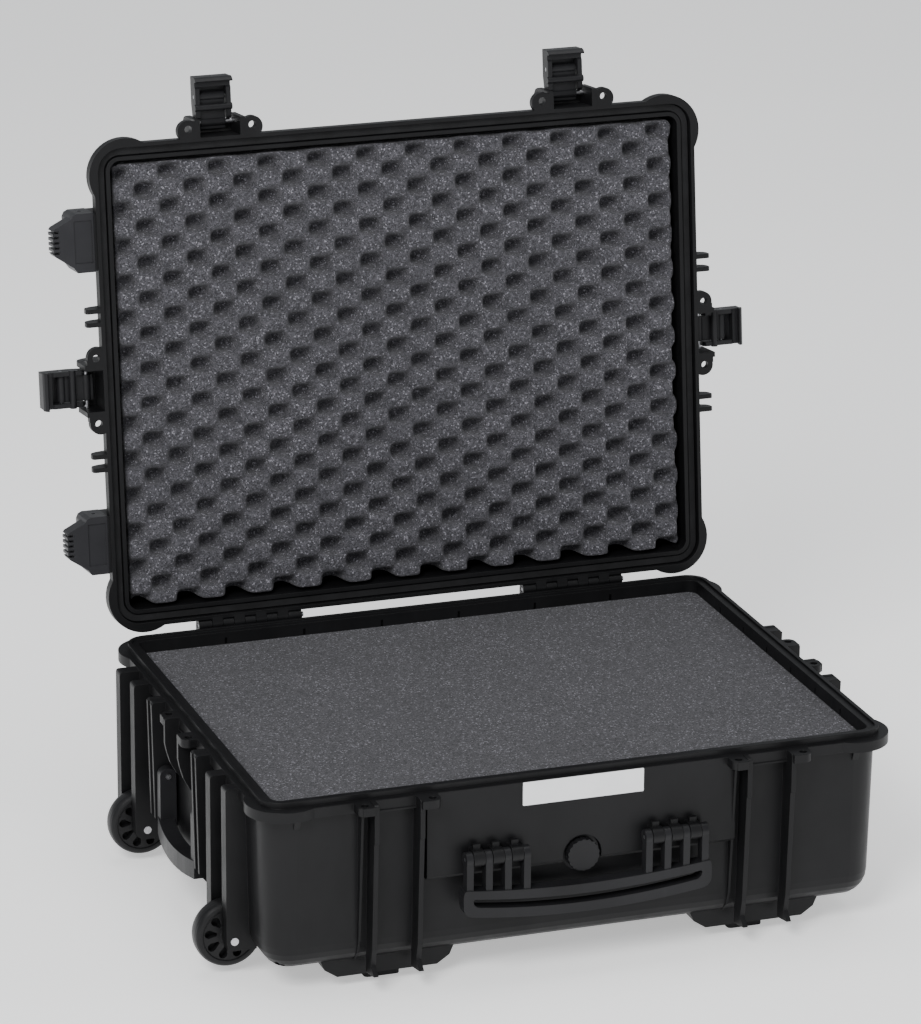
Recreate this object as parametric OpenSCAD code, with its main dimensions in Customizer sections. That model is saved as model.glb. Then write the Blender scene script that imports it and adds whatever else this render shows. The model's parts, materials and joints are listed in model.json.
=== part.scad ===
// Large wheeled equipment case: deep base, hinged lid, four draw latches, carrying handles,
// a pull-out trolley and foam lining. Drawn lid open. Millimetres, +Z up, front toward -Y.

/* [Case] */
// Inner opening, left to right
in_w = 580; // [520:1:640]
// Inner opening, front to back
in_d = 440; // [400:1:480]
// Height of the base rim above the ground
rim_z = 189; // [170:1:210]
// Height of the underside of the base floor above the ground
floor_z = 25.5; // [22:0.5:32]
// Floor thickness
floor_t = 4; // [3:0.5:6]
// Wall thickness at the rim
wall_t = 10; // [8:0.5:12]
// Rim flange: how far it stands out from the opening
flange_out = 26.5; // [24:0.5:30]
// Rim flange depth on the base
flange_h = 10; // [8:0.5:14]

/* [Lid] */
// Lid height above the rim
lid_h = 58; // [50:1:70]
// Depth of the lid's inside
lid_in = 50; // [42:1:56]
// How far the lid stands open, degrees
lid_open = 96.3; // [90:0.1:104]
// Hinge axis behind the case centre
hinge_y = 242.3; // [238:0.1:250]
// Hinge axis above the ground
hinge_z = 194.5; // [192:0.1:198]
// Hinge centre from the case centre
hinge_x = 168; // [140:1:190]

/* [Latches and handles] */
// Front latch centre from the case centre
latch_x = 180; // [150:1:190]
// Latch link length between its two pins
link_l = 25; // [22:0.5:30]
// Front handle half width
grip_w = 120; // [100:1:125]
// Front handle axis height
grip_z = 125; // [115:1:132]
// Side handle pin height
side_z = 119; // [112:1:125]

/* [Wheels and trolley] */
// Wheel radius
wheel_r = 32; // [28:1:33]
// Wheel width
wheel_w = 20; // [16:1:24]
// Wheel centre, left of the case centre
wheel_x = 311; // [305:0.1:318]
// Wheel centre height
wheel_z = 39.5; // [36:0.5:46]
// Wheel centre from the middle, front to back
wheel_y = 142.5; // [130:0.5:150]
// Wheel axle radius
axle_r = 3.7; // [3:0.1:5]
// Trolley tube spacing, half
tube_y = 62; // [50:1:75]
// Trolley tube height
tube_z = 15.5; // [14:0.5:18]

/* [Foam] */
// Foam top below the rim, base
foam_drop = 8.3; // [5:0.1:20]
// Peaks of the lid foam above the rim, lid shut
peak_low = 6; // [4:0.5:12]

/* [Hidden] */
$fn = 40;
hx = in_w / 2;
hy = in_d / 2;
ox = hx + wall_t;
oy = hy + wall_t;
fx = hx + 16.5;
fy = hy + 16.5;
top_z = rim_z + lid_h;
face_z = rim_z + 0.4;
lid_ceil = rim_z + lid_in;
// Shift that puts the middle of the open case's bounding box over the origin.
shift_x = 0;
shift_y = -45.3;
// Latch pin places in the latch frame: outward from the flange edge, and above the rim.
pin_u = 10.5;
pin_h = 28;

// ---------- shared helpers ----------

module placed() {
  translate([shift_x, shift_y, 0]) children();
}

// Turns lid parts, drawn closed, to the open pose about the hinge.
module in_lid() {
  placed()
    translate([0, hinge_y, hinge_z])
      rotate([-lid_open, 0, 0])
        translate([0, -hinge_y, -hinge_z])
          children();
}

// Rounded rectangle, half sizes a and b.
module round_rect(a, b, r) {
  square([2 * a, 2 * (b - r)], center = true);
  square([2 * (a - r), 2 * b], center = true);
  for (sx = [-1, 1], sy = [-1, 1])
    translate([sx * (a - r), sy * (b - r)]) circle(r = r);
}

function flip(v) = [for (i = [len(v) - 1 : -1 : 0]) v[i]];

// Tub with rounded corners: prof lists [inset, z] pairs from bottom to top.
module tub(a, b, r, prof) {
  n = len(prof);
  xz = concat([for (p = prof) [a - p[0], p[1]]], flip([for (p = prof) [p[0] - a, p[1]]]));
  yz = concat([for (p = prof) [b - p[0], p[1]]], flip([for (p = prof) [p[0] - b, p[1]]]));
  rz = concat([[0, prof[0][1]]], [for (p = prof) [r - p[0], p[1]]], [[0, prof[n - 1][1]]]);
  rotate([90, 0, 0]) translate([0, 0, -(b - r)]) linear_extrude(2 * (b - r)) polygon(xz);
  rotate([90, 0, 90]) translate([0, 0, -(a - r)]) linear_extrude(2 * (a - r)) polygon(yz);
  for (sx = [-1, 1], sy = [-1, 1])
    translate([sx * (a - r), sy * (b - r), 0]) rotate_extrude() polygon(rz);
}

// Flat plate seen from the front: points are [x, z], thickness runs in y from y0 to y1.
module plate_xz(y0, y1, pts) {
  translate([0, y1, 0]) rotate([90, 0, 0]) linear_extrude(y1 - y0) polygon(pts);
}

// Flat plate seen from the side: points are [y, z], thickness runs in x from x0 to x1.
module plate_yz(x0, x1, pts) {
  translate([x0, 0, 0]) rotate([90, 0, 90]) linear_extrude(x1 - x0) polygon(pts);
}

// Cylinder along x from x0 to x1.
module rod_x(x0, x1, y, z, r) {
  translate([x0, y, z]) rotate([0, 90, 0]) cylinder(r = r, h = x1 - x0);
}

// Cylinder along y from y0 to y1.
module rod_y(y0, y1, x, z, r) {
  translate([x, y1, z]) rotate([90, 0, 0]) cylinder(r = r, h = y1 - y0);
}

// Box from low corner to high corner.
module box(a, b) {
  translate(a) cube([b[0] - a[0], b[1] - a[1], b[2] - a[2]]);
}

// Latch frame: origin on the flange edge at rim height, outward is -Y.
module latch_at(i) {
  if (i == 0) translate([-latch_x, -fy, rim_z]) children();
  if (i == 1) translate([latch_x, -fy, rim_z]) children();
  if (i == 2) translate([-fx, 0, rim_z]) rotate([0, 0, -90]) children();
  if (i == 3) translate([fx, 0, rim_z]) rotate([0, 0, 90]) children();
}

module flange_2d() {
  square([2 * fx, 2 * (fy - 30)], center = true);
  square([2 * (fx - 30), 2 * fy], center = true);
  for (sx = [-1, 1], sy = [-1, 1])
    translate([sx * (fx - 31), sy * (fy - 30.5)]) circle(r = 36, $fn = 64);
}

// ---------- base ----------

base_prof = concat(
  [for (t = [0 : 15 : 90]) [3 + 25 * (1 - sin(t)), floor_z + 25 * (1 - cos(t))]],
  [[0, rim_z - 1]]);
cav_z = floor_z + floor_t;
cav_prof = concat(
  [for (t = [0 : 30 : 90]) [3 + 5 * (1 - sin(t)), cav_z + 5 * (1 - cos(t))]],
  [[0, rim_z], [0, rim_z + 12]]);

// Two catch ribs and two padlock tabs, in the latch frame, below the rim.
module base_catch(front) {
  low = front ? -163 : -62;
  pts = front
    ? [[12, low - 8], [-11, low - 4], [-2, low + 4], [-6, low + 20], [-11.5, -38],
       [-13, -37], [-13, -1], [-11, 0], [12, 0]]
    : [[8, low], [3, low + 1], [-3, low + 7], [-9, low + 18], [-12.5, low + 30],
       [-14, low + 38], [-14, -1], [-12, 0], [8, 0]];
  for (s = [-1, 1]) {
    plate_yz(s * 21.7 - 2.25, s * 21.7 + 2.25, pts);
    hole = front ? 9 : 6.5;
    translate([0, 0, -8]) linear_extrude(8) {
      translate([s * 32, -hole]) circle(r = 7.5);
      translate([s * 28 - 7.5, -hole - 7.5]) square([11, 20]);
      translate([s * 32 - 7.5, -hole]) square([15, 14]);
    }
  }
  // Catch ledge behind which the lever's lip comes to rest.
  box([-20, -1, -11.6], [20, 8, -9.5]);
}

module wheel_bracket(s) {
  // s is the side, front -1 or rear 1; two plates either side of the wheel.
  for (k = [0, 1]) {
    y0 = s * wheel_y - 25.5 + 37 * k;
    out = s < 0 ? 318.5 + 3.5 * k : 322.5 + 3.5 * k;
    plate_xz(y0, y0 + 14, [[-290, 30], [-314, 30], [-317, 30.8], [1 - out, 34], [-out, 40],
      [-out, rim_z - 3.5], [0.6 - out, rim_z - 1.6], [2.4 - out, rim_z - 0.8],
      [-290, rim_z - 0.8]]);
  }
}

// Ribs on the right stop above the trolley grip.
function rib_low(sx) = sx < 0 ? 62 : 84;

module base_outer() {
  tub(ox, oy, 30, base_prof);
  translate([0, 0, rim_z - flange_h]) linear_extrude(flange_h) flange_2d();
  // Rim tongue: a broad low step with a taller ridge near its outer edge.
  translate([0, 0, rim_z - 1]) linear_extrude(5) round_rect(hx + 7.6, hy + 7.6, 17.6);
  translate([0, 0, rim_z - 1]) linear_extrude(7) difference() {
    round_rect(hx + 11, hy + 11, 21);
    round_rect(hx + 7.2, hy + 7.2, 17.2);
  }
  // Front panel, flush with the flange, with a step at its foot.
  plate_yz(-150, 150, [[-220, 105], [-234, 105], [-fy, 108], [-fy, rim_z - 1],
    [-220, rim_z - 1]]);
  for (i = [0 : 1]) latch_at(i) base_catch(true);
  for (i = [2 : 3]) latch_at(i) base_catch(false);
  // Thin ribs beside the front catches.
  for (x = [-latch_x - 32, latch_x - 32])
    plate_yz(x - 1.3, x + 1.3, [[-215, 28], [-226, 38], [-231, 52], [-241, 182], [-220, 182]]);
  // Rib pairs on both short sides, each tied by a cap.
  for (sx = [-1, 1], sy = [-1, 1]) {
    for (y = [66, 79])
      plate_xz(sy * y - 2, sy * y + 2, [[sx * 292, rib_low(sx)], [sx * 310, rib_low(sx)],
        [sx * 318, rib_low(sx) + 10], [sx * 320.5, rim_z - 2], [sx * 318, rim_z],
        [sx * 292, rim_z]]);
    box([min(sx * 292, sx * 319), min(sy * 64, sy * 81), rim_z - 6],
      [max(sx * 292, sx * 319), max(sy * 64, sy * 81), rim_z - 0.5]);
  }
  for (s = [-1, 1]) wheel_bracket(s);
  // Corner gussets under the flange.
  for (sx = [-1, 1], sy = [-1, 1])
    plate_yz(sx * 271 - 3, sx * 271 + 3, [[sy * 225, 166], [sy * 230.5, 168],
      [sy * 235, 180], [sy * 225, 180]]);
  // Humps under the floor that carry the ground feet.
  for (sx = [-1, 1], sy = [-1, 1])
    plate_xz(min(sy * 152, sy * 214), max(sy * 152, sy * 214),
      [[sx * 246, 34], [sx * 240, 20], [sx * 228, 12], [sx * 132, 12], [sx * 120, 20],
       [sx * 114, 34]]);
  // Saddles for the trolley tubes.
  for (sy = [-1, 1], x = [-236, -64, 108, 282])
    box([x - 9, sy * tube_y - 11, 6.5], [x + 9, sy * tube_y + 11, floor_z + 2]);
  // Stiffening ribs down the back wall.
  for (x = [-219, -117, 117, 219, -60, 0, 60])
    plate_yz(x - 2.5, x + 2.5, [[215, 34], [229, 44], [234, 60], [235.5, 180], [215, 180]]);
  // Inner faces of the wheel wells are added after the cavity is cut.
}

// Where each hinge carries base knuckles (odd spots) and lid knuckles (even spots).
function knuckle_x(i) = -54 + (i == 0 ? 0 : 13.8 + 11.1 * (i - 1));
function knuckle_w(i) = (i == 0 || i == 8) ? 13.4 : 10.7;

module hinge_spots(first, grow, r) {
  for (s = [-1, 1], i = [first : 2 : 8])
    translate([s * hinge_x, 0, 0])
      rod_x(knuckle_x(i) - grow, knuckle_x(i) + knuckle_w(i) + grow, hinge_y, hinge_z, r);
}

module base_knuckles() {
  hinge_spots(0, 0, 6.2);
  for (s = [-1, 1], i = [0 : 2 : 8])
    translate([s * hinge_x, 0, 0])
      plate_yz(knuckle_x(i), knuckle_x(i) + knuckle_w(i), [[230, rim_z - 12],
        [fy + 4, rim_z - 12], [hinge_y + 6.2, hinge_z - 6], [hinge_y + 6.2, hinge_z],
        [fy + 0.5, hinge_z], [fy + 0.5, rim_z - 0.5], [230, rim_z - 0.5]]);
}

module front_knuckles() {
  for (s = [-1, 1], k = [0 : 2]) {
    x0 = s > 0 ? 63 + 18.3 * k : -73.8 - 18.3 * k;
    rod_x(x0, x0 + 10.8, -fy - 10, grip_z, 7.5);
    plate_yz(x0, x0 + 10.8, [[-fy + 2, grip_z - 13], [-fy - 6, grip_z - 6.2],
      [-fy - 10, grip_z - 7.5], [-fy - 10, grip_z + 7.5], [-fy + 2, grip_z + 7.5]]);
    box([x0 + 2, -fy - 7.5, grip_z + 5], [x0 + 8.8, -fy - 3.5, grip_z + 12.5]);
  }
}

module base_shell() {
  color([0.09, 0.09, 0.1]) placed()
    difference() {
      union() {
        difference() {
          base_outer();
          tub(hx, hy, 10, cav_prof);
          // Panel slots near the rim.
          for (x = [-200 : 80 : 200], sy = [-1, 1])
            box([x - 1.2, sy * 220.5 - 2.5, rim_z - 17], [x + 1.2, sy * 220.5 + 2.5, rim_z - 2]);
          for (y = [-150 : 60 : 150], sx = [-1, 1])
            box([sx * 290.5 - 2.5, y - 1.2, rim_z - 17], [sx * 290.5 + 2.5, y + 1.2, rim_z - 2]);
        }
        base_knuckles();
        front_knuckles();
        // Wheel wells, seen from inside.
        for (s = [-1, 1])
          box([-297, s * wheel_y - 15, floor_z + 2], [-273, s * wheel_y + 15, 79]);
      }
      // Room for each wheel.
      for (s = [-1, 1])
        box([-350, s * wheel_y - 11.5, 4], [-276.5, s * wheel_y + 11.5, 75.5]);
      for (s = [-1, 1])
        rod_y(s * wheel_y - 30, s * wheel_y + 30, -wheel_x, wheel_z, axle_r);
      // Clearance for the lid's knuckles, and the pin bores.
      for (s = [-1, 1], i = [1 : 2 : 8])
        translate([s * hinge_x, 0, 0])
          rod_x(knuckle_x(i) - 0.2, knuckle_x(i) + knuckle_w(i) + 0.2, hinge_y, hinge_z, 6.9);
      for (s = [-1, 1]) rod_x(s * hinge_x - 60, s * hinge_x + 60, hinge_y, hinge_z, 2.5);
      for (s = [-1, 1]) rod_x(s * 86.7 - 32, s * 86.7 + 32, -fy - 10, grip_z, 2);
      // Side handle pin holes in the inner ribs, left side.
      for (s = [-1, 1]) rod_y(s * 66 - 5, s * 66 + 5, -309, side_z, 2.5);
      // Padlock holes.
      for (i = [0 : 3], s = [-1, 1])
        latch_at(i) translate([s * 32, i < 2 ? -9 : -6.5, -12])
          cylinder(r = 3.6, h = 16, $fn = 32);
      // Valve recess and bore.
      rod_y(-fy - 2, -229, 0, 112, 18.5);
      rod_y(-240, -200, 0, 112, 6);
      // Trolley sleeves.
      for (sy = [-1, 1]) rod_x(-250, 320, sy * tube_y, tube_z, 7);
        }
}

// ---------- lid ----------

lid_prof = concat(
  [[0, face_z + 2], [0, rim_z + 12]],
  [for (t = [0 : 15 : 90]) [2 + 18 * (1 - cos(t)), top_z - 18 + 18 * sin(t)]]);
lid_cav = concat(
  [[0, face_z - 2], [0, rim_z + 14]],
  [for (t = [0 : 30 : 90]) [2 + 6 * (1 - cos(t)), lid_ceil - 6 + 6 * sin(t)]]);

// Cheeks, lugs and padlock holes of one latch, in the latch frame, above the rim.
module lid_lugs(front) {
  hole = front ? 9 : 6.5;
  for (s = [-1, 1]) {
    plate_yz(min(s * 20, s * 25), max(s * 20, s * 25), [[10, 0.4], [-15, 0.4], [-17, 1.6],
      [-17.5, 4], [-17.5, 33], [-15.5, 39], [-11, 43], [-4, 46], [10, 49]]);
    translate([0, 0, 0.4]) linear_extrude(7.6) {
      translate([s * 22.5 - 2.5, -17.5]) square([5, 22]);
      translate([s * 26 - 4, -15.5]) square([8, 20]);
      translate([s * 32, -hole + 2]) circle(r = 10.5);
      translate([s * 30 - 8, -hole + 2]) square([16, 12]);
    }
  }
  // Web behind the link, joining the cheeks.
  plate_yz(-22, 22, [[10, 39], [-10, 39], [-10.6, 36.5], [-9, 35.5], [-2, 35.5], [0, 33],
    [0, 10], [10, 10]]);
}

module lid_outer() {
  tub(ox, oy, 30, lid_prof);
  translate([0, 0, face_z]) linear_extrude(11.6) flange_2d();
  for (i = [0 : 3]) latch_at(i) lid_lugs(i < 2);
  // Rib pairs on both short sides.
  for (sx = [-1, 1], sy = [-1, 1], y = [64.5, 77.5])
    plate_xz(sy * y - 2.2, sy * y + 2.2, [[sx * 292, face_z], [sx * 318.5, face_z],
      [sx * 320.5, face_z + 2], [sx * 320.5, rim_z + 9], [sx * 318.5, rim_z + 14],
      [sx * 313, rim_z + 17.5], [sx * 303, rim_z + 20], [sx * 292, rim_z + 30]]);
  // Mounting pads of the stand feet.
  for (y = [-146.5, 149.5])
    box([-308.5, y - 25, face_z + 2], [-296, y + 30, rim_z + 40]);
  // Raised panel ribs on top of the lid.
  for (x = [-225, -135, -45, 45, 135, 225])
    box([x - 20, -175, top_z - 3], [x + 20, 175, top_z + 2]);
  box([-262, -196, top_z - 3], [262, -188, top_z + 2]);
  box([-262, 188, top_z - 3], [262, 196, top_z + 2]);
}

module lid_shell() {
  color([0.09, 0.09, 0.1]) in_lid()
    difference() {
      union() {
        difference() {
          lid_outer();
          tub(hx, hy, 10, lid_cav);
          // Seal groove, and the lower inner lip.
          translate([0, 0, rim_z - 1]) linear_extrude(10.4) difference() {
            round_rect(hx + 12.7, hy + 12.7, 22.7);
            round_rect(hx + 4.1, hy + 4.1, 14.1);
          }
          translate([0, 0, rim_z - 1]) linear_extrude(5.4) round_rect(hx + 5, hy + 5, 15);
          // Clearance round the base knuckles.
          for (s = [-1, 1], i = [0 : 2 : 8])
            translate([s * hinge_x, 0, 0])
              rod_x(knuckle_x(i) - 0.2, knuckle_x(i) + knuckle_w(i) + 0.2, hinge_y, hinge_z, 6.9);
        }
        hinge_spots(1, 0, 6.2);
        for (s = [-1, 1], i = [1 : 2 : 8])
          translate([s * hinge_x, 0, 0])
            plate_yz(knuckle_x(i), knuckle_x(i) + knuckle_w(i), [[fy - 2.5, face_z],
              [hinge_y, hinge_z - 6.1], [hinge_y, hinge_z + 6.2], [fy - 2.5, rim_z + 12]]);
      }
      for (s = [-1, 1]) rod_x(s * hinge_x - 60, s * hinge_x + 60, hinge_y, hinge_z, 2.57);
      // Room for each latch between its cheeks.
      for (i = [0 : 3]) latch_at(i) {
        rod_x(-30, 30, -pin_u, pin_h, 2.5);
        for (s = [-1, 1])
          translate([s * 32, i < 2 ? -9 : -6.5, -2]) cylinder(r = 3.6, h = 14, $fn = 32);
      }
    }
}

module lid_seal() {
  color([0.03, 0.03, 0.03]) in_lid()
    translate([0, 0, rim_z + 6.4]) linear_extrude(3) difference() {
      round_rect(hx + 11.6, hy + 11.6, 21.6);
      round_rect(hx + 5.4, hy + 5.4, 15.4);
    }
}

// ---------- foam ----------

module base_foam() {
  color([0.16, 0.16, 0.18]) placed()
    difference() {
      tub(hx - 0.4, hy - 0.4, 9.6, [[9, cav_z + 0.3], [3, cav_z + 6.5], [0, rim_z - foam_drop]]);
      for (s = [-1, 1])
        box([-300, s * wheel_y - 15.4, 20], [-272.6, s * wheel_y + 15.4, 79.4]);
    }
}

// The lid's egg-crate sheet, as the block that its peaks and back reach.
module lid_foam() {
  color([0.16, 0.16, 0.18]) in_lid()
    translate([0, 0, rim_z + peak_low]) linear_extrude(lid_in - peak_low - 2.8)
      round_rect(hx - 3.2, hy - 3.2, 9);
}

// ---------- hinge pins ----------

module hinge_pin_left() {
  color([0.7, 0.7, 0.72]) placed()
    rod_x(-hinge_x - 53.5, -hinge_x + 53.5, hinge_y, hinge_z, 2.5);
}

module hinge_pin_right() {
  color([0.7, 0.7, 0.72]) placed()
    rod_x(hinge_x - 53.5, hinge_x + 53.5, hinge_y, hinge_z, 2.5);
}

// ---------- latches ----------

module link(i) {
  color([0.1, 0.1, 0.11]) in_lid() latch_at(i)
    difference() {
      union() {
        rod_x(-12.5, 12.5, -pin_u, pin_h, 4.6);
        rod_x(-12.5, 12.5, -pin_u - link_l, pin_h, 4.2);
        box([-12.5, -pin_u - link_l, pin_h - 2.6], [12.5, -4.2, pin_h + 2.6]);
      }
      rod_x(-13, 13, -pin_u, pin_h, 2.57);
      rod_x(-13, 13, -pin_u - link_l, pin_h, 2);
    }
}

module lever(i) {
  q = -pin_u - link_l;
  color([0.1, 0.1, 0.11]) in_lid() latch_at(i)
    difference() {
      union() {
        for (s = [-1, 1])
          plate_yz(min(s * 13.4, s * 17.8), max(s * 13.4, s * 17.8), [[-13.5, pin_h - 4],
            [-16, pin_h - 7.5], [-44, pin_h - 7.5], [-47, pin_h - 5], [-55, pin_h - 5],
            [-55, pin_h + 8], [-28, pin_h + 8], [-15, pin_h + 5], [-13.5, pin_h + 1]]);
        // Cap with its turned-in lip, and the back plate under it.
        box([-17.8, -55, pin_h - 6], [17.8, -45.5, pin_h + 8]);
        box([-14, -55, pin_h + 3.5], [14, -41, pin_h + 8]);
        box([-14, -42, pin_h + 5], [14, -36.5, pin_h + 8]);
        plate_yz(-18.6, 18.6, [[-50.8, pin_h - 5.5], [-50.4, pin_h - 12], [-51.6, pin_h - 13],
          [-54, pin_h - 10.5], [-55, pin_h - 7], [-55, pin_h - 5]]);
        // Roller bar that bears on the case.
        rod_x(-18.6, 18.6, -25.5, pin_h - 6.2, 3.3);
      }
      rod_x(-20, 20, q, pin_h, 2.07);
    }
}

module latch_link_a() { link(0); }
module latch_link_b() { link(1); }
module latch_link_c() { link(2); }
module latch_link_d() { link(3); }
module latch_lever_a() { lever(0); }
module latch_lever_b() { lever(1); }
module latch_lever_c() { lever(2); }
module latch_lever_d() { lever(3); }

module long_pin(i) {
  color([0.6, 0.6, 0.62]) in_lid() latch_at(i) rod_x(-24.6, 24.6, -pin_u, pin_h, 2.5);
}

module short_pin(i) {
  color([0.6, 0.6, 0.62]) in_lid() latch_at(i)
    rod_x(-17.6, 17.6, -pin_u - link_l, pin_h, 2);
}

module latch_pin_a() { long_pin(0); }
module latch_pin_b() { long_pin(1); }
module latch_pin_c() { long_pin(2); }
module latch_pin_d() { long_pin(3); }
module lever_pin_a() { short_pin(0); }
module lever_pin_b() { short_pin(1); }
module lever_pin_c() { short_pin(2); }
module lever_pin_d() { short_pin(3); }

// ---------- front handle ----------

// Points of an arc-shaped bar: sags below z by s in the middle.
function bow(z, s, w, n) = [for (i = [0 : n]) let (x = -w + 2 * w * i / n)
  [x, z - s * (1 - x * x / (w * w))]];

module front_handle() {
  y0 = -fy - 10;
  color([0.1, 0.1, 0.11]) placed()
    difference() {
      union() {
        for (s = [-1, 1], k = [0 : 3]) {
          x0 = s > 0 ? 56 + 18.3 * k : -62.5 - 18.3 * k;
          rod_x(x0, x0 + 6.5, y0, grip_z, 7);
          box([x0, y0 - 6.5, 90], [x0 + 6.5, y0 + 4, grip_z]);
        }
        difference() {
          plate_xz(y0 - 7.5, y0 + 5.5, concat(bow(97, 7, grip_w - 3, 20),
            [[grip_w - 0.9, 96.4], [grip_w, 94.5], [grip_w + 0.6, 90], [grip_w + 0.6, 80],
             [grip_w - 0.4, 76], [grip_w - 3.2, 72.6], [grip_w - 7, 70.9]],
            flip(bow(70.2, 7.4, grip_w - 11, 20)),
            [[7 - grip_w, 70.9], [3.2 - grip_w, 72.6], [0.4 - grip_w, 76],
             [-grip_w - 0.6, 80], [-grip_w - 0.6, 90], [-grip_w, 94.5],
             [0.9 - grip_w, 96.4]]));
          plate_xz(y0 - 12, y0 + 12, concat(bow(88, 7.4, grip_w - 10, 20),
            [[grip_w - 8.6, 86.5], [grip_w - 9.6, 82.6], [grip_w - 12, 80.4]],
            flip(bow(79.6, 7.4, grip_w - 15, 20)),
            [[12 - grip_w, 80.4], [9.6 - grip_w, 82.6], [8.6 - grip_w, 86.5]]));
        }
      }
      for (s = [-1, 1]) rod_x(s * 86.7 - 34, s * 86.7 + 34, y0, grip_z, 2.07);
    }
}

module front_handle_pins() {
  color([0.7, 0.7, 0.72]) placed()
    for (s = [-1, 1]) rod_x(s * 86.7 - 30.4, s * 86.7 + 30.4, -fy - 10, grip_z, 2);
}

// ---------- side handle ----------

module side_handle() {
  color([0.1, 0.1, 0.11]) placed()
    difference() {
      union() {
        for (s = [-1, 1]) {
          rod_y(min(s * 50, s * 60), max(s * 50, s * 60), -309, side_z, 8);
          box([-317, min(s * 50, s * 60), 64], [-301, max(s * 50, s * 60), side_z]);
        }
        // Bar, bowed outward and down.
        intersection() {
          translate([0, 0, 40]) linear_extrude(50) polygon(concat(
            [for (i = [0 : 12]) let (y = 10 * i - 60) [-317 - 5.5 * (1 - y * y / 3600), y]],
            [for (i = [12 : -1 : 0]) let (y = 10 * i - 60)
              [-301.5 - 5.5 * (1 - y * y / 3600), y]]));
          plate_yz(-330, -295, concat(
            [for (i = [0 : 12]) let (y = 10 * i - 60) [y, 59 - 4.5 * (1 - y * y / 3600)]],
            [for (i = [12 : -1 : 0]) let (y = 10 * i - 60)
              [y, 77 - 4.5 * (1 - y * y / 3600)]]));
        }
      }
      for (s = [-1, 1]) rod_y(s * 55 - 8, s * 55 + 8, -309, side_z, 2.57);
    }
}

module side_handle_pins() {
  color([0.7, 0.7, 0.72]) placed()
    for (s = [-1, 1])
      rod_y(min(s * 48.6, s * 67.9), max(s * 48.6, s * 67.9), -309, side_z, 2.5);
}

// ---------- wheels ----------

module wheel(s) {
  h = wheel_w / 2;
  color([0.08, 0.08, 0.08]) placed()
    translate([-wheel_x, s * wheel_y, wheel_z]) rotate([90, 0, 0])
      difference() {
        rotate_extrude($fn = 72) polygon([[axle_r + 0.08, -h], [8, -h], [8.6, -h + 1],
          [24.6, -h + 1], [25.4, -h], [wheel_r - 4.5, -h], [wheel_r - 2.4, -h + 0.8],
          [wheel_r - 1, -h + 2.6], [wheel_r - 0.2, -h + 6], [wheel_r, 0], [wheel_r - 0.2, h - 6],
          [wheel_r - 1, h - 2.6], [wheel_r - 2.4, h - 0.8], [wheel_r - 4.5, h], [25.4, h],
          [24.6, h - 1], [8.6, h - 1], [8, h], [axle_r + 0.08, h]]);
        // Teardrop pockets on both faces, with a thin web between them.
        for (k = [0 : 8], z = [-12, 1])
          rotate([0, 0, 40 * k + 12]) {
            translate([19.4, 0, z]) cylinder(r = 4, h = 11, $fn = 24);
            translate([13.2, 0, z]) cylinder(r = 1.8, h = 11, $fn = 20);
            translate([0, 0, z]) linear_extrude(11)
              polygon([[13.4, -1.78], [18.6, -3.92], [18.6, 3.92], [13.4, 1.78]]);
          }
      }
}

module wheel_front() { wheel(-1); }
module wheel_rear() { wheel(1); }

module axle(s) {
  color([0.75, 0.75, 0.77]) placed()
    rod_y(s * wheel_y - 26.4, s * wheel_y + 26, -wheel_x, wheel_z, axle_r);
}

module axle_front() { axle(-1); }
module axle_rear() { axle(1); }

// ---------- trolley ----------

module trolley_sleeves() {
  color([0.5, 0.5, 0.52]) placed()
    for (s = [-1, 1]) difference() {
      rod_x(-245, 300, s * tube_y, tube_z, 7);
      rod_x(-250, 302, s * tube_y, tube_z, 6.05);
    }
}

module trolley_tubes() {
  color([0.6, 0.6, 0.62]) placed()
    for (s = [-1, 1]) rod_x(-240, 306, s * tube_y, tube_z, 6);
}

module trolley_grip() {
  color([0.1, 0.1, 0.11]) placed()
    difference() {
      union() {
        for (s = [-1, 1]) {
          box([303, s * tube_y - 9, 7.5], [318, s * tube_y + 9, 24]);
          box([303, s * tube_y - 7, 20], [318, s * tube_y + 7, 62]);
        }
        plate_yz(303, 320, [[-tube_y - 7, 50], [tube_y + 7, 50], [tube_y + 7, 64],
          [tube_y, 71], [-tube_y, 71], [-tube_y - 7, 64]]);
      }
      for (s = [-1, 1]) rod_x(300, 306, s * tube_y, tube_z, 6);
      box([308, -16.3, 56], [330, 16.3, 65]);
    }
}

module trolley_button() {
  color([0.2, 0.2, 0.21]) placed()
    box([313, -16, 56.3], [321.5, 16, 64.7]);
}

// ---------- stand feet on the lid ----------

module stand_foot(yc) {
  color([0.13, 0.13, 0.14]) in_lid() translate([0, yc, rim_z])
    difference() {
      union() {
        translate([0, 0, 3]) linear_extrude(34)
          polygon([[-308.5, -26], [-325, -26], [-329, -24], [-331, -20], [-331, 24],
            [-326, 31], [-308.5, 31]]);
        translate([0, 0, 3]) linear_extrude(19)
          polygon([[-325, -24], [-347, -13], [-349, -10.5], [-349, 11], [-347, 14], [-325, 29]]);
      }
      // Inset panel and grip grooves.
      translate([0, 0, 1]) linear_extrude(3.2)
        polygon([[-310.5, -19], [-328, -19], [-328, 22], [-310.5, 22]]);
      for (k = [-2 : 2])
        box([-351, k * 5 - 0.8, 2], [-343, k * 5 + 1.4, 24]);
      translate([-318, -28, 20]) rotate([-90, 0, 0]) cylinder(r = 5, h = 6);
      translate([-318, -28, 20]) rotate([-90, 0, 0]) cylinder(r = 2.5, h = 30);
    }
}

module stand_foot_front() { stand_foot(-146.5); }
module stand_foot_rear() { stand_foot(149.5); }

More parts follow.
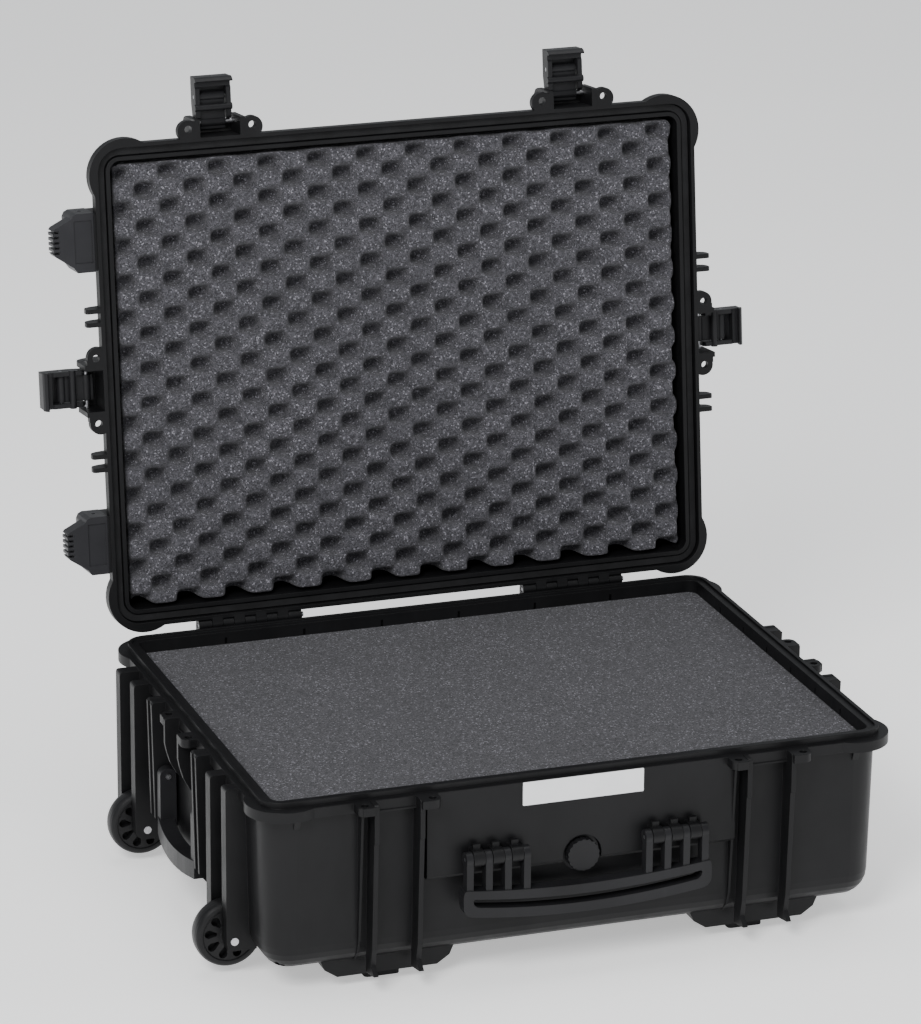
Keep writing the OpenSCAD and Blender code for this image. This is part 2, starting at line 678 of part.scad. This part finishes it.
module stand_screws() {
  color([0.2, 0.2, 0.21]) in_lid()
    for (yc = [-146.5, 149.5]) translate([-318, yc - 26, rim_z + 20]) rotate([-90, 0, 0])
      difference() {
        union() {
          cylinder(r = 4.9, h = 4);
          cylinder(r = 2.5, h = 26);
        }
        translate([0, 0, -1]) cylinder(r = 2.2, h = 3, $fn = 6);
      }
}

// ---------- ground feet, valve, plate ----------

module ground_feet() {
  color([0.05, 0.05, 0.05]) placed()
    for (sx = [-1, 1], sy = [-1, 1])
      translate([sx * 179, sy * 182, 0]) linear_extrude(12) round_rect(17, 15, 4);
}

module valve_seat() {
  color([0.08, 0.08, 0.08]) placed()
    difference() {
      union() {
        rod_y(-231.6, -229, 0, 112, 18);
        rod_y(-231, -219, 0, 112, 6);
      }
      rod_y(-240, -210, 0, 112, 4.07);
    }
}

module valve_knob() {
  color([0.12, 0.12, 0.13]) placed()
    difference() {
      union() {
        rod_y(-240.5, -232, 0, 112, 15.4);
        rod_y(-234, -221, 0, 112, 4);
      }
      for (k = [0 : 17])
        translate([16.3 * cos(20 * k), -231, 112 + 16.3 * sin(20 * k)])
          rotate([90, 0, 0]) cylinder(r = 1.7, h = 12, $fn = 20);
    }
}

module name_plate() {
  color([0.75, 0.76, 0.78]) placed()
    translate([0, -fy, 177.6]) rotate([90, 0, 0]) linear_extrude(0.8) round_rect(58.5, 11.2, 0.8);
}

base_shell();
lid_shell();
lid_seal();
base_foam();
lid_foam();
hinge_pin_left();
hinge_pin_right();
latch_link_a();
latch_link_b();
latch_link_c();
latch_link_d();
latch_lever_a();
latch_lever_b();
latch_lever_c();
latch_lever_d();
latch_pin_a();
latch_pin_b();
latch_pin_c();
latch_pin_d();
lever_pin_a();
lever_pin_b();
lever_pin_c();
lever_pin_d();
front_handle();
front_handle_pins();
side_handle();
side_handle_pins();
wheel_front();
wheel_rear();
axle_front();
axle_rear();
trolley_sleeves();
trolley_tubes();
trolley_grip();
trolley_button();
stand_foot_front();
stand_foot_rear();
stand_screws();
ground_feet();
valve_seat();
valve_knob();
name_plate();
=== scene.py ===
import json
import math

import bpy
from mathutils import Matrix, Vector


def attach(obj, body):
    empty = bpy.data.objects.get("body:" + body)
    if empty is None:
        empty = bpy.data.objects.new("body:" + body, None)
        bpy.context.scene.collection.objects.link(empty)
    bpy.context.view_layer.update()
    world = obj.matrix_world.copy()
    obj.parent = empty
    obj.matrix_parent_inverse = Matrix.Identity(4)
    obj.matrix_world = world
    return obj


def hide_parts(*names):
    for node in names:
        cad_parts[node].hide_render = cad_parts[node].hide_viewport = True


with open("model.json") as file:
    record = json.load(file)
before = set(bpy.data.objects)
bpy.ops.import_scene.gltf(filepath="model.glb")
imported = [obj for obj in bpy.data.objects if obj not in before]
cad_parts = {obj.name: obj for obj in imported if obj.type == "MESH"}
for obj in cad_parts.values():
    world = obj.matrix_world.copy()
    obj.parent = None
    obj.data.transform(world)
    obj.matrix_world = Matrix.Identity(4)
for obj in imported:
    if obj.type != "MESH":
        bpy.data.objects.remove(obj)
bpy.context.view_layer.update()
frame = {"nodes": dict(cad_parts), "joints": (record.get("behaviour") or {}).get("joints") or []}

NODES = frame["nodes"]
JOINTS = {joint["name"]: joint for joint in frame["joints"]}
FRONT_LATCHES = "ab"
SIDE_LATCHES = "cd"


# ---------- node material helpers ----------

def scaled(colour, factor):
    """A colour made lighter or darker."""
    return tuple(factor * channel for channel in colour)


class Material:
    """A material and short ways to add and link its nodes. Patterns lie in object space."""

    def __init__(self, name):
        self.material = bpy.data.materials.new(name)
        self.material.use_nodes = True
        self.tree = self.material.node_tree
        self.tree.nodes.clear()
        output = self.add("ShaderNodeOutputMaterial")
        self.shader = self.add("ShaderNodeBsdfPrincipled")
        self.link(self.shader.outputs[0], output.inputs[0])
        self.place = self.add("ShaderNodeTexCoord").outputs["Object"]

    def add(self, kind):
        return self.tree.nodes.new(kind)

    def link(self, source, target):
        self.tree.links.new(source, target)

    def set(self, **values):
        """Sets uniform values on the shader's own sockets."""
        for name, value in values.items():
            self.shader.inputs[name.replace("_", " ")].default_value = value

    def drive(self, name, source):
        """Links a pattern to one of the shader's sockets."""
        self.link(source, self.shader.inputs[name])

    def put(self, socket, value):
        """Fills a socket with a number, a colour or another node's output."""
        if isinstance(value, (int, float)):
            socket.default_value = value
        elif isinstance(value, tuple):
            socket.default_value = (*value, 1.0)
        else:
            self.link(value, socket)

    def noise(self, scale, detail=4.0, rough=0.55, stretch=None):
        place = self.place
        if stretch:
            mapping = self.add("ShaderNodeMapping")
            mapping.inputs["Scale"].default_value = stretch
            self.link(place, mapping.inputs["Vector"])
            place = mapping.outputs[0]
        node = self.add("ShaderNodeTexNoise")
        node.inputs["Scale"].default_value = scale
        node.inputs["Detail"].default_value = detail
        node.inputs["Roughness"].default_value = rough
        self.link(place, node.inputs["Vector"])
        return node.outputs["Fac"]

    def cells(self, scale, output):
        """Voronoi cells: their Distance, or a random Color each."""
        node = self.add("ShaderNodeTexVoronoi")
        node.inputs["Scale"].default_value = scale
        self.link(self.place, node.inputs["Vector"])
        return node.outputs[output]

    def mix(self, amount, first, second):
        """Mixes two colours. Sockets 6 and 7 and output 2 are the node's colour ones."""
        node = self.add("ShaderNodeMix")
        node.data_type = "RGBA"
        self.put(node.inputs[0], amount)
        self.put(node.inputs[6], first)
        self.put(node.inputs[7], second)
        return node.outputs[2]

    def total(self, first, second):
        node = self.add("ShaderNodeMath")
        node.operation = "ADD"
        self.put(node.inputs[0], first)
        self.put(node.inputs[1], second)
        return node.outputs[0]

    def span(self, value, low, high, at_low=0.0, at_high=1.0):
        """Maps a stretch of a pattern's values onto another stretch, clamped."""
        node = self.add("ShaderNodeMapRange")
        self.put(node.inputs[0], value)
        for i, bound in enumerate((low, high, at_low, at_high)):
            node.inputs[i + 1].default_value = bound
        return node.outputs[0]

    def soft_edge(self, radius):
        """Normal of edges rounded by a small radius, as moulded corners are."""
        node = self.add("ShaderNodeBevel")
        node.samples = 4
        node.inputs["Radius"].default_value = radius
        return node.outputs[0]

    def bump(self, height, distance, strength, normal=None):
        """Bump on the shader's normal, over an earlier normal if one is given."""
        node = self.add("ShaderNodeBump")
        node.inputs["Distance"].default_value = distance
        node.inputs["Strength"].default_value = strength
        self.link(height, node.inputs["Height"])
        if normal is not None:
            self.link(normal, node.inputs["Normal"])
        self.drive("Normal", node.outputs[0])
        return node.outputs[0]


# ---------- materials ----------

def moulded(name, base, light, rough, grain=1500.0, depth=0.00005, dust=0.25, edge=0.0009):
    """Satin moulded plastic: fine spark grain, flow mottling, rubbed patches and faint dust."""
    m = Material(name)
    mottle = m.noise(9.0, 5.0, 0.6)
    fine = m.noise(grain, 2.0, 0.5)
    rubbed = m.noise(38.0, 6.0, 0.7, stretch=(1.0, 1.0, 0.35))
    scratches = m.noise(60.0, 3.0, 0.6, stretch=(0.12, 1.0, 6.0))
    colour = m.mix(m.span(mottle, 0.3, 0.7), base, light)
    colour = m.mix(m.span(rubbed, 0.6, 0.8, 0.0, dust), colour, scaled(light, 2.2))
    colour = m.mix(m.span(scratches, 0.68, 0.8, 0.0, 0.4 * dust), colour, scaled(light, 2.6))
    m.drive("Base Color", colour)
    change = m.total(m.span(rubbed, 0.35, 0.75, -0.06, 0.1), m.span(fine, 0.3, 0.7, -0.03, 0.03))
    m.drive("Roughness", m.total(change, rough))
    normal = m.bump(m.noise(160.0, 2.0), 2.0 * depth, 0.35, m.soft_edge(edge))
    m.bump(fine, depth, 0.9, normal)
    m.set(Specular_IOR_Level=0.2)
    return m.material


def open_cell_foam(name, dark, light):
    """Open-cell foam: each cell its own tone, with painted highlights on scattered cells for
    glints off strut ends, and a soft matt sheen.
    """
    m = Material(name)
    tones = m.add("ShaderNodeSeparateColor")
    m.link(m.cells(720.0, "Color"), tones.inputs[0])
    tone, painted_glint = tones.outputs[0], tones.outputs[1]
    struts = m.cells(900.0, "Distance")
    fine = m.noise(1000.0, 3.0, 0.7)
    mottle = m.noise(16.0, 4.0, 0.5)
    colour = m.mix(m.span(tone, 0.0, 0.86), dark, light)
    # Painted highlight: a few random cells made bright, standing in for glints off strut ends.
    colour = m.mix(m.span(painted_glint, 0.9, 0.95, 0.0, 0.9), colour, scaled(light, 2.7))
    colour = m.mix(m.span(struts, 0.25, 0.6, 0.0, 0.5), colour, scaled(dark, 0.5))
    colour = m.mix(m.span(mottle, 0.3, 0.7, 0.0, 0.25), colour, dark)
    m.drive("Base Color", colour)
    m.drive("Roughness", m.span(fine, 0.3, 0.7, 0.9, 1.0))
    normal = m.bump(struts, 0.0008, 0.7)
    m.bump(fine, 0.0003, 0.6, normal)
    m.set(Specular_IOR_Level=0.1, Sheen_Weight=0.1, Sheen_Roughness=0.6)
    return m.material


def metal(name, colour, rough, stretch):
    """Drawn or turned metal with fine marks along its length and slight tarnish."""
    m = Material(name)
    lines = m.noise(900.0, 3.0, 0.6, stretch=stretch)
    tarnish = m.noise(120.0, 4.0, 0.6)
    m.drive("Base Color", m.mix(m.span(tarnish, 0.35, 0.75), colour, scaled(colour, 0.72)))
    change = m.total(m.span(lines, 0.3, 0.7, -0.08, 0.1), m.span(tarnish, 0.4, 0.8, 0.0, 0.1))
    m.drive("Roughness", m.total(change, rough))
    m.bump(lines, 0.00003, 0.6)
    m.set(Metallic=1.0)
    return m.material


def rubber(name, base, light):
    """Matt black rubber, slightly uneven in tone."""
    m = Material(name)
    fine = m.noise(1100.0, 3.0, 0.6)
    mottle = m.noise(45.0, 4.0, 0.6)
    m.drive("Base Color", m.mix(m.span(mottle, 0.35, 0.7), base, light))
    m.drive("Roughness", m.span(fine, 0.3, 0.7, 0.72, 0.9))
    m.bump(fine, 0.00006, 0.8)
    m.set(Specular_IOR_Level=0.3)
    return m.material


def plate_film(name, base, light):
    """Pale plate, blank, with soft cloudy wear and fine brushing."""
    m = Material(name)
    clouds = m.noise(30.0, 5.0, 0.6)
    brushing = m.noise(700.0, 2.0, 0.5, stretch=(0.05, 1.0, 1.0))
    m.drive("Base Color", m.mix(m.span(clouds, 0.3, 0.7), base, light))
    m.drive("Roughness", m.span(brushing, 0.3, 0.7, 0.3, 0.42))
    m.bump(brushing, 0.00002, 0.5)
    m.set(Metallic=0.05)
    return m.material


def pale_floor(name, base, light):
    """Pale studio floor that glows a little, so that it stays even far from the lights."""
    m = Material(name)
    m.drive("Base Color", m.mix(m.span(m.noise(1.2, 3.0), 0.3, 0.7), base, light))
    m.set(Roughness=0.85, Specular_IOR_Level=0.2)
    m.set(Emission_Color=(1.0, 1.0, 1.0, 1.0), Emission_Strength=0.55)
    return m.material


SHELL = moulded("shell_plastic_black", (0.0046, 0.0046, 0.005), (0.0082, 0.0082, 0.009), 0.44)
LATCH = moulded("latch_plastic_black", (0.0085, 0.0085, 0.0093), (0.0152, 0.0152, 0.0167), 0.38,
                grain=1900.0, depth=0.00004, edge=0.0007)
WHEEL = moulded("wheel_plastic_black", (0.0085, 0.0085, 0.009), (0.014, 0.014, 0.015), 0.38,
                grain=2100.0, depth=0.00003, dust=0.35)
FOOT = moulded("foot_plastic_dark", (0.015, 0.015, 0.0168), (0.025, 0.025, 0.028), 0.4)
FLAT_FOAM = open_cell_foam("foam_dark_grey", (0.019, 0.019, 0.022), (0.094, 0.092, 0.104))
CRATE_FOAM = open_cell_foam("foam_crate_grey", (0.035, 0.035, 0.04), (0.128, 0.125, 0.14))
SEAL = rubber("seal_rubber_black", (0.006, 0.006, 0.0065), (0.012, 0.012, 0.013))
PAD = rubber("foot_rubber_black", (0.008, 0.008, 0.0085), (0.016, 0.016, 0.017))
STEEL_X = metal("pin_steel_along", (0.56, 0.56, 0.58), 0.3, (0.05, 1.0, 1.0))
STEEL_Y = metal("axle_steel", (0.6, 0.6, 0.62), 0.28, (1.0, 0.05, 1.0))
STEEL_Z = metal("side_pin_steel", (0.54, 0.54, 0.56), 0.32, (1.0, 1.0, 0.05))
ALUMINIUM = metal("tube_aluminium", (0.5, 0.505, 0.52), 0.34, (0.04, 1.0, 1.0))
SCREW = metal("screw_black_oxide", (0.09, 0.09, 0.095), 0.42, (1.0, 1.0, 1.0))
PLATE = plate_film("name_plate_film", (0.82, 0.825, 0.835), (0.9, 0.905, 0.91))

LOOKS = [
    (SHELL, ["base_shell", "lid_shell"]),
    (LATCH, ["front_handle", "side_handle", "trolley_grip", "trolley_button", "valve_seat",
             "valve_knob"]),
    (FOOT, ["stand_foot_front", "stand_foot_rear"]),
    (WHEEL, ["wheel_front", "wheel_rear"]),
    (SEAL, ["lid_seal"]),
    (PAD, ["ground_feet"]),
    (STEEL_X, ["hinge_pin_left", "hinge_pin_right", "front_handle_pins"]),
    (STEEL_Y, ["axle_front", "axle_rear", "side_handle_pins"]),
    (ALUMINIUM, ["trolley_sleeves", "trolley_tubes"]),
    (SCREW, ["stand_screws"]),
    (PLATE, ["name_plate"]),
]
for latches, steel in ((FRONT_LATCHES, STEEL_X), (SIDE_LATCHES, STEEL_Z)):
    LOOKS.append((LATCH, [part + k for part in ("latch_link_", "latch_lever_") for k in latches]))
    LOOKS.append((steel, [part + k for part in ("latch_pin_", "lever_pin_") for k in latches]))
for look, names in LOOKS:
    for name in names:
        slots = NODES[name].data.materials
        slots.clear()
        slots.append(look)


# ---------- lid frame ----------

HINGE = JOINTS["lid_hinge"]
OPEN_ANGLE = -math.radians(HINGE["range_deg"][0])
PIVOT = Vector(HINGE["pos_m"])
TO_OPEN = (Matrix.Translation(PIVOT) @ Matrix.Rotation(-OPEN_ANGLE, 4, "X")
           @ Matrix.Translation(-PIVOT))
TO_SHUT = TO_OPEN.inverted()


def shut_box(node):
    """Lowest and highest corners of a lid node, as if the lid were shut."""
    points = [TO_SHUT @ vertex.co for vertex in NODES[node].data.vertices]
    return ([min(p[i] for p in points) for i in range(3)],
            [max(p[i] for p in points) for i in range(3)])


# ---------- new objects ----------

def link_object(name, data):
    obj = bpy.data.objects.new(name, data)
    bpy.context.scene.collection.objects.link(obj)
    return obj


def mesh_object(name, verts, faces, material, smooth):
    mesh = bpy.data.meshes.new(name)
    mesh.from_pydata(verts, [], faces)
    mesh.validate()
    mesh.update()
    mesh.materials.append(material)
    for face in mesh.polygons:
        face.use_smooth = smooth
    return link_object(name, mesh)


# ---------- egg-crate foam in the lid ----------

PEAK_X, PEAK_Y = 0.05004, 0.03507       # pitch of the peaks along X and Y
CRATE_DX, CRATE_DY = 0.00374, 0.00649   # where the pattern starts
CRATE_DEPTH = 0.025                     # peak to valley
CRATE_COLUMNS, CRATE_ROWS = 300, 230    # mesh squares
WALL_STEEPNESS = 2.3                    # of the walls between peaks and valleys
PEAK_SHARE = 0.34                       # above 0, peaks are broader than valleys
PEAK_UNEVEN = 0.0012                    # how much shorter a peak may be
WANDER = 0.0013                         # how far the rows stray
WANDER_X, WANDER_Y = 23.0, 19.0         # radians per metre of that straying
WANDER_START = 1.3                      # and where it starts, in radians
SIDE_SCALLOP, END_SCALLOP = 0.0055, 0.004   # depth on the X sides and on the Y sides
SCALLOP_REACH = 0.016                   # how far in from the edge a scallop starts
SIDE_DROP, SIDE_DROP_REACH = 0.004, 0.006   # peaks get shorter beside the X sides
SIDE_GAP, FACE_GAP, BACK_GAP = 0.0006, 0.0005, 0.0004   # inside the CAD block
CORNER_RADIUS = 0.009


def fixed_random(i, j):
    """A fixed pseudo-random number from 0 to 1 for a grid place."""
    value = math.sin(i * 127.1 + j * 311.7) * 43758.5453
    return value - math.floor(value)


def crate_height(x, y):
    """Nearly 0 in a valley and 1 on a peak: broad flat peaks with steep walls between them."""
    wave = math.cos(2 * math.pi * x / PEAK_X) * math.cos(2 * math.pi * y / PEAK_Y)
    top = math.tanh(WALL_STEEPNESS * (1 + PEAK_SHARE))
    return 0.5 + 0.5 * math.tanh(WALL_STEEPNESS * (wave + PEAK_SHARE)) / top


def nearness(distance, reach):
    """1 at an edge, falling to 0 at a distance from it."""
    return max(0.0, 1.0 - distance / reach)


class Crate:
    """The egg-crate sheet, worked out lid shut: peaks down, flat back up."""

    def __init__(self, low, high):
        self.x0, self.y0 = low[0] + SIDE_GAP, low[1] + SIDE_GAP
        self.x1, self.y1 = high[0] - SIDE_GAP, high[1] - SIDE_GAP
        self.face, self.back = low[2] + FACE_GAP, high[2] - BACK_GAP
        self.xc, self.yc = 0.5 * (self.x0 + self.x1), 0.5 * (self.y0 + self.y1)

    def round_corner(self, x, y):
        """Pulls a point into the sheet's rounded corner."""
        flat_x = 0.5 * (self.x1 - self.x0) - CORNER_RADIUS
        flat_y = 0.5 * (self.y1 - self.y0) - CORNER_RADIUS
        dx, dy = abs(x - self.xc) - flat_x, abs(y - self.yc) - flat_y
        if dx <= 0 or dy <= 0 or math.hypot(dx, dy) <= CORNER_RADIUS:
            return x, y
        pull = CORNER_RADIUS / math.hypot(dx, dy)
        return (self.xc + math.copysign(flat_x + dx * pull, x - self.xc),
                self.yc + math.copysign(flat_y + dy * pull, y - self.yc))

    def point(self, column, row):
        """A point of the peaks and valleys, from its place in the mesh."""
        x = self.x0 + (self.x1 - self.x0) * column / CRATE_COLUMNS
        y = self.y0 + (self.y1 - self.y0) * row / CRATE_ROWS
        wander = WANDER * math.sin(x * WANDER_X + WANDER_START) * math.cos(y * WANDER_Y)
        h = crate_height(x - self.xc + CRATE_DX + wander, y + CRATE_DY + wander)
        side, end = min(x - self.x0, self.x1 - x), min(y - self.y0, self.y1 - y)
        # Each peak has its own height, and peaks beside the X sides are a little shorter.
        uneven = PEAK_UNEVEN * fixed_random(round((x - self.x0) / PEAK_X * 2),
                                            round((y - self.y0) / PEAK_Y * 2))
        drop = SIDE_DROP * nearness(side, SIDE_DROP_REACH) ** 2
        z = self.face + CRATE_DEPTH * (1.0 - h) + (uneven + drop) * h
        # The cut sides are scalloped: they pull in beside each valley.
        pull_x = SIDE_SCALLOP * nearness(side, SCALLOP_REACH) * (1.0 - h)
        pull_y = END_SCALLOP * nearness(end, SCALLOP_REACH) * (1.0 - h)
        x -= math.copysign(pull_x, x - self.xc)
        y -= math.copysign(pull_y, y - self.yc)
        return (*self.round_corner(x, y), z)

    def build(self):
        """The closed sheet as an object, swung open with the lid."""
        columns, rows = CRATE_COLUMNS, CRATE_ROWS
        width = columns + 1
        verts = [self.point(i, j) for j in range(rows + 1) for i in range(width)]
        corners = [j * width + i for j in range(rows) for i in range(columns)]
        faces = [(a, a + width, a + width + 1, a + 1) for a in corners]
        # Skirt round the edge and one face for the back.
        edge = (list(range(width)) + [j * width + columns for j in range(1, rows + 1)]
                + [rows * width + i for i in range(columns - 1, -1, -1)]
                + [j * width for j in range(rows - 1, 0, -1)])
        first, count = len(verts), len(edge)
        verts += [(verts[a][0], verts[a][1], self.back) for a in edge]
        for k in range(count):
            q = (k + 1) % count
            faces.append((edge[k], edge[q], first + q, first + k))
        faces.append(tuple(range(first, first + count)))
        verts = [tuple(TO_OPEN @ Vector(v)) for v in verts]
        obj = mesh_object("lid_foam_crate", verts, faces, CRATE_FOAM, smooth=True)
        for face in list(obj.data.polygons)[rows * columns:]:
            face.use_smooth = False
        return obj


crate = Crate(*shut_box("lid_foam")).build()
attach(crate, "lid")
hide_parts("lid_foam")


# ---------- flat foam in the base ----------

def base_foam():
    """The CAD block's own mesh with the foam material."""
    mesh = NODES["base_foam"].data.copy()
    mesh.name = "base_foam_block"
    mesh.materials.clear()
    mesh.materials.append(FLAT_FOAM)
    return link_object("base_foam_block", mesh)


block = base_foam()
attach(block, "base")
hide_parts("base_foam")


# ---------- floor and world ----------

INNER_RADIUS, OUTER_RADIUS = 4.0, 16.0
FLOOR_SIDES = 48


def ring(radius):
    """Points round a circle on the floor."""
    angles = [2 * math.pi * k / FLOOR_SIDES for k in range(FLOOR_SIDES)]
    return [(radius * math.cos(angle), radius * math.sin(angle), 0.0) for angle in angles]


def studio_floor():
    """Wide flat floor, seen past the case from every side."""
    verts = [(0.0, 0.0, 0.0)] + ring(INNER_RADIUS) + ring(OUTER_RADIUS)
    faces = []
    for k in range(FLOOR_SIDES):
        inner, next_inner = 1 + k, 1 + (k + 1) % FLOOR_SIDES
        faces.append((0, inner, next_inner))
        faces.append((inner, inner + FLOOR_SIDES, next_inner + FLOOR_SIDES, next_inner))
    look = pale_floor("studio_floor", (0.88, 0.88, 0.88), (0.91, 0.91, 0.905))
    mesh_object("studio_floor", verts, faces, look, smooth=False)


def studio_world(colour, strength):
    world = bpy.data.worlds.new("studio_world")
    bpy.context.scene.world = world
    world.use_nodes = True
    background = world.node_tree.nodes["Background"]
    background.inputs[0].default_value = (*colour, 1.0)
    background.inputs[1].default_value = strength


studio_floor()
studio_world((0.93, 0.96, 1.0), 0.42)


# ---------- lights ----------

def softbox(name, place, aim, size, watts):
    light = bpy.data.lights.new(name, "AREA")
    light.shape = "RECTANGLE"
    light.size, light.size_y = size
    light.energy = watts
    obj = link_object(name, light)
    obj.location = place
    obj.rotation_euler = (Vector(aim) - Vector(place)).to_track_quat("-Z", "Y").to_euler()


softbox("softbox_key", (-2.3, -2.7, 3.1), aim=(0.0, 0.0, 0.35), size=(1.6, 1.6), watts=160.0)
softbox("softbox_top", (0.2, 0.3, 3.4), aim=(0.0, -0.1, 0.2), size=(2.4, 2.0), watts=40.0)
softbox("fill_front", (-1.2, -4.2, 1.6), aim=(0.0, 0.2, 0.45), size=(1.6, 1.2), watts=16.0)
softbox("softbox_right", (3.4, -1.8, 1.5), aim=(0.0, 0.0, 0.3), size=(1.2, 2.0), watts=26.0)


# ---------- camera ----------

CAMERA_PLACE = (-1.5844, -4.4310, 1.9319)
CAMERA_TURN = math.radians(19.4398)     # clockwise from looking along +Y
CAMERA_DOWN = math.radians(18.5747)     # below the horizontal
CAMERA_ROLL = math.radians(0.3588)
SENSOR_WIDTH = 36.0
FOCAL_LENGTH = 205.27
VIEW_DEPTH = 60.0


def photo_camera():
    """Camera at the photograph's angle, with its slight roll."""
    lens = bpy.data.cameras.new("photo_camera")
    lens.sensor_fit = "HORIZONTAL"
    lens.sensor_width = SENSOR_WIDTH
    lens.lens = FOCAL_LENGTH
    lens.clip_end = VIEW_DEPTH
    obj = link_object("photo_camera", lens)
    obj.matrix_world = (Matrix.Translation(CAMERA_PLACE)
                        @ Matrix.Rotation(-CAMERA_TURN, 4, "Z")
                        @ Matrix.Rotation(math.pi / 2 - CAMERA_DOWN, 4, "X")
                        @ Matrix.Rotation(CAMERA_ROLL, 4, "Z"))
    bpy.context.scene.camera = obj


photo_camera()
